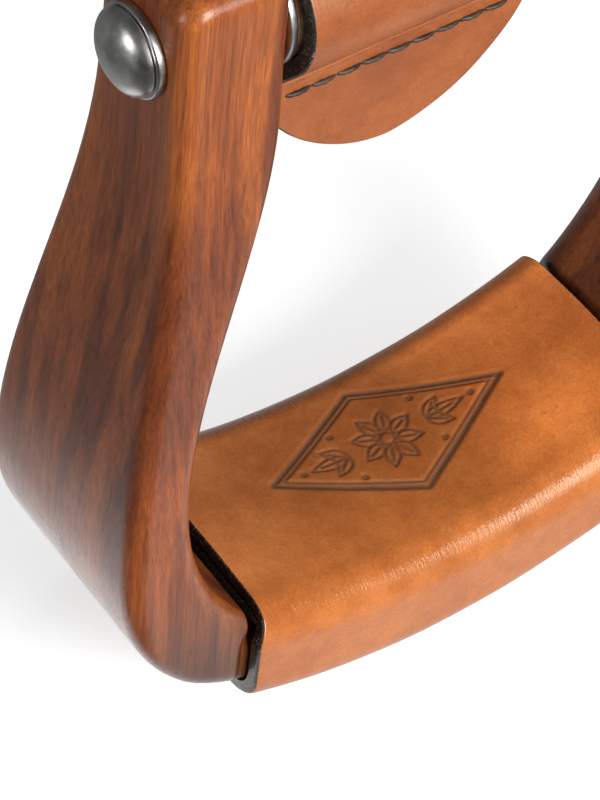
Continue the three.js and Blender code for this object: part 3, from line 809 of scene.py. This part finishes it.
def stained(tree, colour, mask, amount, stain):
    """The colour, with part of a stain over it where the mask is."""
    return mixed(tree, times(tree, mask, amount), colour, stain)


def shaded(tree, colour, amount, shade):
    """The colour times a shade."""
    return mixed(tree, amount, colour, shade, "MULTIPLY")


def ramp(tree, factor, *stops):
    """An eased colour ramp through (place, colour) stops, where one number is a grey."""
    node = tree.nodes.new("ShaderNodeValToRGB")
    node.color_ramp.interpolation = "EASE"
    points = node.color_ramp.elements
    while len(points) < len(stops):
        points.new(0.5)
    for point, (place, colour) in zip(points, stops):
        point.position = place
        point.color = (*(colour if isinstance(colour, tuple) else (colour,) * 3), 1)
    tree.links.new(factor, node.inputs[0])
    return node.outputs[0]


def parted(tree, place):
    """A place as its X, Y and Z."""
    node = add(tree, "ShaderNodeSeparateXYZ")
    join(tree, (place, node.inputs[0]))
    return node.outputs


FLOAT, VECTOR = "NodeSocketFloat", "NodeSocketVector"


def new_group(name, sizes, outputs):
    """A shader node group that takes a place and named sizes and gives the named outputs."""
    tree = bpy.data.node_groups.new(name, "ShaderNodeTree")
    tree.interface.new_socket("Place", in_out="INPUT", socket_type=VECTOR)
    for label, value in sizes.items():
        socket = tree.interface.new_socket(label, in_out="INPUT", socket_type=FLOAT)
        socket.default_value = value
    for label in outputs:
        tree.interface.new_socket(label, in_out="OUTPUT", socket_type=FLOAT)
    return tree, tree.nodes.new("NodeGroupInput").outputs, tree.nodes.new("NodeGroupOutput").inputs


def make_wood_figure():
    """Bands, fibres and pores that run up the wood."""
    tree, given, out = new_group("Wood Figure", {
        "Band Width": 0.005, "Band Length": 0.12, "Wander": 0.004, "Fibre Width": 0.0004},
        ["Bands", "Patches", "Streaks", "Fibres", "Pores"])
    place = given["Place"]
    drift = add(tree, "ShaderNodeTexNoise", "slow drift of the grain", Scale=14.0, Detail=1.5)
    centred = vector_maths(tree, "SUBTRACT", drift.outputs["Color"], (0.5, 0.5, 0.5))[0]
    moved = add(tree, "ShaderNodeVectorMath", operation="SCALE")
    bent = add(tree, "ShaderNodeVectorMath", operation="ADD")
    join(tree, (place, drift.inputs["Vector"]), (centred, moved.inputs[0]),
         (given["Wander"], moved.inputs["Scale"]), (moved.outputs[0], bent.inputs[0]),
         (place, bent.inputs[1]))

    def stretched(width, length, detail, roughness, seed):
        """Noise of this size across and along the grain."""
        across = maths(tree, "DIVIDE", 1.0, width)
        up = maths(tree, "DIVIDE", 1.0, length)
        sizes = add(tree, "ShaderNodeCombineXYZ")
        scaled = add(tree, "ShaderNodeVectorMath", operation="MULTIPLY_ADD")
        scaled.inputs[2].default_value = (seed, seed * 1.7, seed * 0.6)
        noise = add(tree, "ShaderNodeTexNoise", Scale=1.0, Detail=detail, Roughness=roughness)
        join(tree, (across, sizes.inputs[0]), (across, sizes.inputs[1]), (up, sizes.inputs[2]),
             (bent.outputs[0], scaled.inputs[0]), (sizes.outputs[0], scaled.inputs[1]),
             (scaled.outputs[0], noise.inputs["Vector"]))
        return noise.outputs["Fac"]

    width, length, fibre = given["Band Width"], given["Band Length"], given["Fibre Width"]
    bands = stretched(width, length, 2.0, 0.5, 3.1)
    patches = stretched(times(tree, width, 1.7), times(tree, length, 0.7), 2.0, 0.5, 8.4)
    streaks = stretched(times(tree, width, 0.22), times(tree, length, 0.34), 5.0, 0.66, 2.2)
    fibres = stretched(fibre, times(tree, fibre, 30.0), 3.0, 0.6, 1.3)
    pores = stretched(times(tree, fibre, 0.8), times(tree, fibre, 12.0), 1.0, 0.5, 5.9)
    sharp = times(tree, maths(tree, "SUBTRACT", pores, 0.62), 6.0, clamp=True)
    join(tree, (bands, out["Bands"]), (patches, out["Patches"]), (streaks, out["Streaks"]),
         (fibres, out["Fibres"]), (sharp, out["Pores"]))
    return tree


def make_leather_grain():
    """Creased grain, cloudy colour and small marks of leather."""
    tree, given, out = new_group("Leather Grain", {"Grain Size": 0.0006, "Cloud Size": 0.012},
                                 ["Grain", "Clouds", "Specks", "Creases", "Fray", "Stretch"])
    place = given["Place"]

    def noise(size, detail, roughness=0.55):
        node = add(tree, "ShaderNodeTexNoise", Detail=detail, Roughness=roughness)
        join(tree, (place, node.inputs["Vector"]),
             (maths(tree, "DIVIDE", 1.0, size), node.inputs["Scale"]))
        return node.outputs["Fac"]

    size, cloud = given["Grain Size"], given["Cloud Size"]
    cells = add(tree, "ShaderNodeTexVoronoi")
    join(tree, (place, cells.inputs["Vector"]),
         (maths(tree, "DIVIDE", 1.0, size), cells.inputs["Scale"]))
    fine = noise(times(tree, size, 1.7), 4.0)
    grain = maths(tree, "ADD", times(tree, cells.outputs["Distance"], 0.55),
                  times(tree, fine, 0.45))
    specks = maths(tree, "SUBTRACT", noise(times(tree, size, 2.6), 2.0), 0.64)
    flat = vector_maths(tree, "MULTIPLY", place, (2300, 300, 300))[0]
    across = add(tree, "ShaderNodeTexNoise", "short lines across a bend", Scale=1.0, Detail=3.0,
                 Roughness=0.6)
    join(tree, (grain, out["Grain"]), (noise(cloud, 4.0, 0.6), out["Clouds"]),
         (times(tree, specks, 6.0, clamp=True), out["Specks"]),
         (noise(times(tree, cloud, 0.3), 5.0, 0.7), out["Creases"]),
         (noise(times(tree, size, 0.9), 2.0, 0.7), out["Fray"]),
         (flat, across.inputs["Vector"]), (across.outputs["Fac"], out["Stretch"]))
    return tree


def make_edge_wear():
    """Where outside edges have rubbed and where hollows hold dirt, broken up by noise."""
    tree, given, out = new_group("Edge Wear", {"Patch Size": 0.003, "Reach": 8.0},
                                 ["Rubbed", "Hollow"])
    geometry = add(tree, "ShaderNodeNewGeometry")
    patches = add(tree, "ShaderNodeTexNoise", Detail=3.0)
    join(tree, (given["Place"], patches.inputs["Vector"]),
         (maths(tree, "DIVIDE", 1.0, given["Patch Size"]), patches.inputs["Scale"]))
    bent = maths(tree, "SUBTRACT", geometry.outputs["Pointiness"], 0.5)
    broken = times(tree, times(tree, bent, given["Reach"]),
                   maths(tree, "ADD", patches.outputs["Fac"], 0.4))
    join(tree, (times(tree, broken, 1.0, clamp=True), out["Rubbed"]),
         (times(tree, broken, -1.0, clamp=True), out["Hollow"]))
    return tree


def make_handling():
    """Uneven polish from hands and boots: a roughness between two values."""
    tree, given, out = new_group("Handling Polish", {
        "Patch Size": 0.01, "Smoothest": 0.3, "Roughest": 0.5}, ["Roughness"])
    noise = add(tree, "ShaderNodeTexNoise", Detail=4.0, Roughness=0.6)
    join(tree, (given["Place"], noise.inputs["Vector"]),
         (maths(tree, "DIVIDE", 1.0, given["Patch Size"]), noise.inputs["Scale"]))
    spread = maths(tree, "SUBTRACT", given["Roughest"], given["Smoothest"])
    part = times(tree, maths(tree, "SUBTRACT", noise.outputs["Fac"], 0.25), 2.0, clamp=True)
    join(tree, (maths(tree, "ADD", given["Smoothest"], times(tree, spread, part)),
                out["Roughness"]))
    return tree


GROUPS = {tree.name: tree for tree in (
    make_wood_figure(), make_leather_grain(), make_edge_wear(), make_handling())}


def new_material(name):
    """A material with an empty Principled shader, and its place on the object."""
    material = bpy.data.materials.new(name)
    material.use_nodes = True
    tree = material.node_tree
    return material, tree, tree.nodes["Principled BSDF"].inputs, add(
        tree, "ShaderNodeTexCoord").outputs["Object"]


def effect(tree, name, place, **values):
    """One of the shared groups, with its own values."""
    node = tree.nodes.new("ShaderNodeGroup")
    node.node_tree = GROUPS[name]
    for key, value in values.items():
        node.inputs[key.replace("_", " ")].default_value = value
    tree.links.new(place, node.inputs["Place"])
    return node.outputs


def polish(tree, place, patch, smoothest, roughest):
    return effect(tree, "Handling Polish", place, Patch_Size=patch, Smoothest=smoothest,
                  Roughest=roughest)["Roughness"]


def surface(tree, shader, colour, rough, relief, strength, distance):
    """Gives the shader its colour, roughness and fine relief."""
    bump = add(tree, "ShaderNodeBump", Strength=strength, Distance=distance)
    join(tree, (colour, shader["Base Color"]), (rough, shader["Roughness"]),
         (relief, bump.inputs["Height"]), (bump.outputs[0], shader["Normal"]))


def make_side_wood():
    """Oiled hardwood, red-brown with darker purple bands and orange streaks."""
    material, tree, shader, place = new_material("Oiled dark hardwood")
    figure = effect(tree, "Wood Figure", place, Band_Width=0.0062, Band_Length=0.20,
                    Wander=0.004, Fibre_Width=0.00034)
    dark = ramp(tree, figure["Bands"], (0.38, 1), (0.54, 0))
    colour = mixed(tree, dark, (0.278, 0.070, 0.017), (0.165, 0.040, 0.0125))
    orange = ramp(tree, figure["Patches"], (0.48, 0), (0.62, 1))
    colour = stained(tree, colour, orange, 0.7, (0.430, 0.121, 0.027))
    colour = shaded(tree, colour, 0.9, ramp(
        tree, figure["Streaks"], (0.34, (0.56, 0.53, 0.56)), (0.46, (0.90, 0.88, 0.90)),
        (0.55, (1.02, 1.0, 0.98)), (0.66, (1.26, 1.20, 1.12))))
    colour = shaded(tree, colour, 0.85, ramp(
        tree, figure["Fibres"], (0.3, (0.72, 0.70, 0.72)), (0.68, (1.16, 1.15, 1.14))))
    # Painted shade: the wood darkens towards the foot, near the floor.
    height = times(tree, parted(tree, place)["Z"], 10.0)
    colour = shaded(tree, colour, 1.0, ramp(tree, height, (0.18, 0.30), (0.62, 1)))
    colour = stained(tree, colour, figure["Pores"], 0.4, (0.040, 0.014, 0.008))
    wear = effect(tree, "Edge Wear", place, Patch_Size=0.004, Reach=5.0)
    colour = stained(tree, colour, wear["Rubbed"], 0.25, (0.42, 0.17, 0.07))
    rough = maths(tree, "ADD", polish(tree, place, 0.02, 0.26, 0.38),
                  times(tree, figure["Pores"], 0.2))
    shader["Specular IOR Level"].default_value = 0.38
    relief = maths(tree, "SUBTRACT", times(tree, figure["Fibres"], 0.35), figure["Pores"])
    surface(tree, shader, colour, rough, relief, 0.2, 0.00010)
    return material


def make_plain_wood():
    """Lighter wood that is turned or sawn and left plain."""
    material, tree, shader, place = new_material("Plain light hardwood")
    turn = add(tree, "ShaderNodeVectorRotate", rotation_type="Y_AXIS", Angle=math.radians(90))
    join(tree, (place, turn.inputs["Vector"]))
    lengthwise = turn.outputs[0]
    figure = effect(tree, "Wood Figure", lengthwise, Band_Width=0.003, Band_Length=0.09,
                    Wander=0.003, Fibre_Width=0.0004)
    colour = ramp(tree, figure["Bands"], (0.32, (0.190, 0.090, 0.040)),
                  (0.5, (0.330, 0.180, 0.085)), (0.68, (0.440, 0.260, 0.130)))
    colour = shaded(tree, colour, 0.8, ramp(
        tree, figure["Fibres"], (0.3, (0.78, 0.76, 0.74)), (0.65, 1.1)))
    colour = stained(tree, colour, figure["Pores"], 0.5, (0.06, 0.03, 0.015))
    wear = effect(tree, "Edge Wear", lengthwise, Patch_Size=0.003, Reach=4.0)
    colour = mixed(tree, wear["Rubbed"], colour, (0.50, 0.32, 0.18))
    relief = maths(tree, "SUBTRACT", figure["Fibres"], figure["Pores"])
    surface(tree, shader, colour, polish(tree, lengthwise, 0.012, 0.42, 0.62), relief,
            0.3, 0.00012)
    return material


def make_leather(name, light, dark, smoothest, roughest, tone=0.0):
    """Russet leather. Its tooled lines are darkened and its cut edges dyed black.

    The tone is how far the tread cover's painted shade and sheen, its lighter right end and its
    smoother, stretch-marked bends show.
    """
    material, tree, shader, place = new_material(name)
    grain = effect(tree, "Leather Grain", place, Grain_Size=0.00055, Cloud_Size=0.017)
    colour = mixed(tree, ramp(tree, grain["Clouds"], (0.36, 0), (0.64, 1)), dark, light)
    where = parted(tree, place)
    # Painted shade across the tread: lighter at the front, darker in the middle, with a painted
    # grey-blue sheen at the back edge.
    painted_shade_to_back = maths(tree, "MULTIPLY_ADD", where["Y"], 20.0, 0.5)
    colour = shaded(tree, colour, tone, ramp(
        tree, painted_shade_to_back, (0.1, (1.10, 1.12, 1.12)), (0.5, (0.88, 0.86, 0.84)),
        (0.95, (1.06, 1.08, 1.22))))
    # Along the top and back: a painted grey-blue sheen at the left end, and lighter towards the
    # right end.
    along = maths(tree, "MULTIPLY_ADD", where["X"], 10.0, 0.5)
    left_sheen_right_lighter = ramp(tree, along, (0.05, (1.14, 1.28, 1.55)), (0.30, (0.92, 0.94, 0.98)),
                 (0.55, (0.94, 0.95, 0.96)), (0.80, 1.76))
    on_top = maths(tree, "MULTIPLY_ADD", where["Y"], 100.0, 2.3, clamp=True)
    colour = shaded(tree, colour, times(tree, on_top, tone), left_sheen_right_lighter)
    colour = shaded(tree, colour, 0.75, ramp(
        tree, grain["Grain"], (0.2, (0.84, 0.80, 0.78)), (0.7, 1.08)))
    colour = shaded(tree, colour, 0.6, ramp(
        tree, grain["Creases"], (0.4, (0.86, 0.82, 0.80)), (0.6, 1.05)))
    colour = stained(tree, colour, grain["Specks"], 0.35, (0.17, 0.055, 0.022))
    tooled = add(tree, "ShaderNodeAttribute", "pressed lines", attribute_name="pressed_in")
    dye = add(tree, "ShaderNodeAttribute", "cut edges", attribute_name="edge_dye")
    line = times(tree, tooled.outputs["Fac"], maths(tree, "ADD", grain["Creases"], 0.42),
                 clamp=True)
    colour = mixed(tree, line, colour, (0.105, 0.052, 0.028))
    wear = effect(tree, "Edge Wear", place, Patch_Size=0.003, Reach=3.0)
    colour = stained(tree, colour, wear["Rubbed"], 0.2, (0.60, 0.30, 0.14))
    ragged = maths(tree, "ADD", dye.outputs["Fac"],
                   times(tree, maths(tree, "SUBTRACT", grain["Grain"], 0.5), 0.9))
    soot = ramp(tree, grain["Grain"], (0.25, (0.008, 0.007, 0.006)), (0.8, (0.036, 0.033, 0.031)))
    soot = mixed(tree, ramp(tree, grain["Fray"], (0.57, 0), (0.70, 1)), soot,
                 (0.330, 0.295, 0.270))
    colour = mixed(tree, ramp(tree, ragged, (0.42, 0), (0.62, 1)), colour, soot)
    bend = ramp(tree, times(tree, maths(tree, "ABSOLUTE", where["Y"]), 30.0),
                (0.50, 0), (0.62, 1), (0.76, 0))
    rough = maths(tree, "ADD", polish(tree, place, 0.009, smoothest, roughest),
                  times(tree, line, 0.12))
    rough = maths(tree, "SUBTRACT", rough, times(tree, bend, tone * 0.13))
    shader["Specular IOR Level"].default_value = 0.55
    shader["Specular Tint"].default_value = (1.0, 0.88, 0.68, 1)
    relief = maths(tree, "ADD", grain["Grain"], times(tree, grain["Creases"], 0.6))
    relief = maths(tree, "ADD", relief,
                   times(tree, times(tree, grain["Stretch"], bend), tone * 6.0))
    surface(tree, shader, colour, rough, relief, 0.4, 0.0001)
    return material


def make_thread():
    """Dark waxed thread."""
    material, tree, shader, place = new_material("Dark waxed thread")
    grain = effect(tree, "Leather Grain", place, Grain_Size=0.0002, Cloud_Size=0.004)
    colour = ramp(tree, grain["Clouds"], (0.35, (0.020, 0.012, 0.008)),
                  (0.65, (0.060, 0.036, 0.022)))
    colour = shaded(tree, colour, 0.8, ramp(
        tree, grain["Grain"], (0.25, 0.7), (0.75, (1.25, 1.2, 1.15))))
    surface(tree, shader, colour, polish(tree, place, 0.003, 0.4, 0.6), grain["Grain"],
            0.4, 0.00008)
    return material


def make_steel():
    """Satin steel with uneven polish and dull hollows."""
    material, tree, shader, place = new_material("Satin steel")
    shader["Metallic"].default_value = 1.0
    grain = effect(tree, "Leather Grain", place, Grain_Size=0.0003, Cloud_Size=0.006)
    colour = ramp(tree, grain["Clouds"], (0.35, (0.36, 0.355, 0.345)),
                  (0.65, (0.54, 0.535, 0.52)))
    wear = effect(tree, "Edge Wear", place, Patch_Size=0.002, Reach=4.0)
    colour = stained(tree, colour, wear["Rubbed"], 0.5, (0.74, 0.73, 0.71))
    colour = stained(tree, colour, wear["Hollow"], 0.6, (0.16, 0.13, 0.11))
    surface(tree, shader, colour, polish(tree, place, 0.003, 0.24, 0.42), grain["Grain"],
            0.15, 0.00005)
    return material


# Floor, lamps and camera

FLOOR_REACH = 6.0
FLOOR_LOW = -0.0002
# Middles of the floor's painted sheen, seen only in reflections, and the tip and heading of its
# painted dark wedge.
SHEEN_MIDDLE = (-0.03, -0.06, 0)
LEFT_SHEEN_MIDDLE = (-0.085, 0.03, 0)
PAINTED_DARK_WEDGE_TIP = (-0.075, -0.024, 0)
PAINTED_DARK_WEDGE_HEADING = (-0.707, -0.707, 0)
LAMP_AIM = (0, 0, 60)
AIR_LIGHT = 0.13
CAMERA_AIM = (-26.2, 0, 58.6)
CAMERA_DISTANCE = 0.5842
CAMERA_RIGHT = (0.8112, -0.5786, 0.0851)
CAMERA_UP = (0.3969, 0.6515, 0.6465)
CAMERA_BACK = (-0.4295, -0.4907, 0.7581)


def make_floor():
    """A wide white table top, which keeps the stirrup's shadow.

    The polish of the stirrup shows it as a painted reflection: a soft glow that fades outwards,
    but for a painted dark wedge at the front left, as from a black card that isn't there.
    """
    mesh = bpy.data.meshes.new("white_table")
    mesh.from_pydata([(x * FLOOR_REACH, y * FLOOR_REACH, FLOOR_LOW)
                      for x, y in ((-1, -1), (1, -1), (1, 1), (-1, 1))], [], [(0, 1, 2, 3)])
    floor = bpy.data.objects.new("white_table", mesh)
    bpy.context.scene.collection.objects.link(floor)
    material, tree, shader, place = new_material("White table")
    shader["Roughness"].default_value = 0.9
    shader["Specular IOR Level"].default_value = 0.1
    shader["Emission Color"].default_value = (1, 1, 1, 1)
    seen = add(tree, "ShaderNodeLightPath").outputs
    # Painted reflection: glossy rays see a glow near the stirrup and beside its left side, fading
    # outwards.
    away = vector_maths(tree, "DISTANCE", place, SHEEN_MIDDLE)["Value"]
    beside = vector_maths(tree, "DISTANCE", place, LEFT_SHEEN_MIDDLE)["Value"]
    # Painted dark wedge at the front left, where that painted glow is cut away.
    aside = vector_maths(tree, "SUBTRACT", place, PAINTED_DARK_WEDGE_TIP)[0]
    heading = vector_maths(tree, "NORMALIZE", aside)[0]
    toward_dark_wedge = vector_maths(tree, "DOT_PRODUCT", heading, PAINTED_DARK_WEDGE_HEADING)["Value"]
    outside_dark_wedge = ramp(tree, toward_dark_wedge, (0.42, 1), (0.72, 0.08))
    near = ramp(tree, maths(tree, "DIVIDE", away, 0.3),
                (0.10, 0.52), (0.33, 0.44), (0.50, 0.17), (1.0, 0.08))
    left = ramp(tree, maths(tree, "DIVIDE", beside, 0.3), (0.06, 0.50), (0.24, 0))
    sheen = times(tree, maths(tree, "ADD", near, left), times(tree, outside_dark_wedge, 2.0))
    white = ramp(tree, maths(tree, "DIVIDE", away, 2.0), (0.2, 0.62), (0.6, 1))
    glow = maths(tree, "ADD", times(tree, seen["Is Camera Ray"], white),
                 times(tree, sheen, seen["Is Glossy Ray"]))
    # Camera rays see whiter paint; reflections see dark paint under the painted glow.
    paint = mixed(tree, seen["Is Camera Ray"], (0.22, 0.22, 0.22), (0.62, 0.62, 0.62))
    paint = mixed(tree, seen["Is Glossy Ray"], paint, (0.07, 0.07, 0.07))
    join(tree, (paint, shader["Base Color"]), (glow, shader["Emission Strength"]))
    mesh.materials.append(material)


def make_lamp(name, direction, distance, size, watts):
    """A square soft lamp, with its place as a direction from the stirrup."""
    data = bpy.data.lights.new(name, "AREA")
    data.shape, data.size, data.energy = "SQUARE", size, watts
    lamp = bpy.data.objects.new(name, data)
    bpy.context.scene.collection.objects.link(lamp)
    heading = Vector(direction).normalized()
    lamp.location = Vector(LAMP_AIM) * MM + heading * distance
    lamp.rotation_mode = "QUATERNION"
    lamp.rotation_quaternion = (-heading).to_track_quat("-Z", "Y")
    return lamp


def make_light():
    make_lamp("front_softbox", (0.1, -0.85, 0.46), distance=0.9, size=0.4, watts=11.0)
    top = make_lamp("top_softbox", (0.65, -0.1, 1.0), distance=1.1, size=0.6, watts=3.1)
    top.visible_glossy = False
    make_lamp("left_softbox", (-0.95, 0.05, 0.32), distance=1.1, size=0.3, watts=3.2)
    world = bpy.data.worlds.new("studio_air")
    world.use_nodes = True
    tree = world.node_tree
    background = tree.nodes["Background"].inputs
    background["Color"].default_value = (1, 1, 1, 1)
    seen = add(tree, "ShaderNodeLightPath").outputs["Is Camera Ray"]
    join(tree, (maths(tree, "MAXIMUM", seen, AIR_LIGHT), background["Strength"]))
    bpy.context.scene.world = world
    bpy.context.scene.view_settings.view_transform = "Standard"


def make_camera():
    data = bpy.data.cameras.new("photo_camera")
    data.sensor_width, data.lens = 36.0, 145.2
    data.clip_start, data.clip_end = 0.01, 20
    camera = bpy.data.objects.new("photo_camera", data)
    bpy.context.scene.collection.objects.link(camera)
    back = Vector(CAMERA_BACK)
    turn = Matrix((Vector(CAMERA_RIGHT), Vector(CAMERA_UP), back)).transposed()
    camera.matrix_world = Matrix.Translation(
        Vector(CAMERA_AIM) * MM + back * CAMERA_DISTANCE) @ turn.to_4x4()
    bpy.context.scene.camera = camera


make_camera()
side_material = make_side_wood()
plain_wood = make_plain_wood()
cover_leather = make_leather("Russet cover leather", (0.475, 0.142, 0.031),
                             (0.403, 0.111, 0.023), 0.28, 0.42, tone=1.0)
flap_leather = make_leather("Russet flap leather", (0.360, 0.100, 0.026),
                            (0.280, 0.072, 0.018), 0.36, 0.52)
pad_leather = make_leather("Plain pad leather", (0.34, 0.16, 0.07), (0.26, 0.11, 0.045),
                           0.55, 0.75)
waxed_thread = make_thread()
satin_steel = make_steel()

make_sides(side_material)
make_cover(cover_leather)
make_pad(pad_leather)
make_lace(waxed_thread)
make_flap(flap_leather)
make_stitching(waxed_thread)
make_roller(plain_wood)
make_bolt(satin_steel)
make_nut(satin_steel)
make_washers(satin_steel)
for hidden in ("tread_block", "left_front_peg", "left_back_peg", "right_front_peg",
               "right_back_peg"):
    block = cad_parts[hidden]
    block.data.materials.clear()
    block.data.materials.append(plain_wood)
make_floor()
make_light()
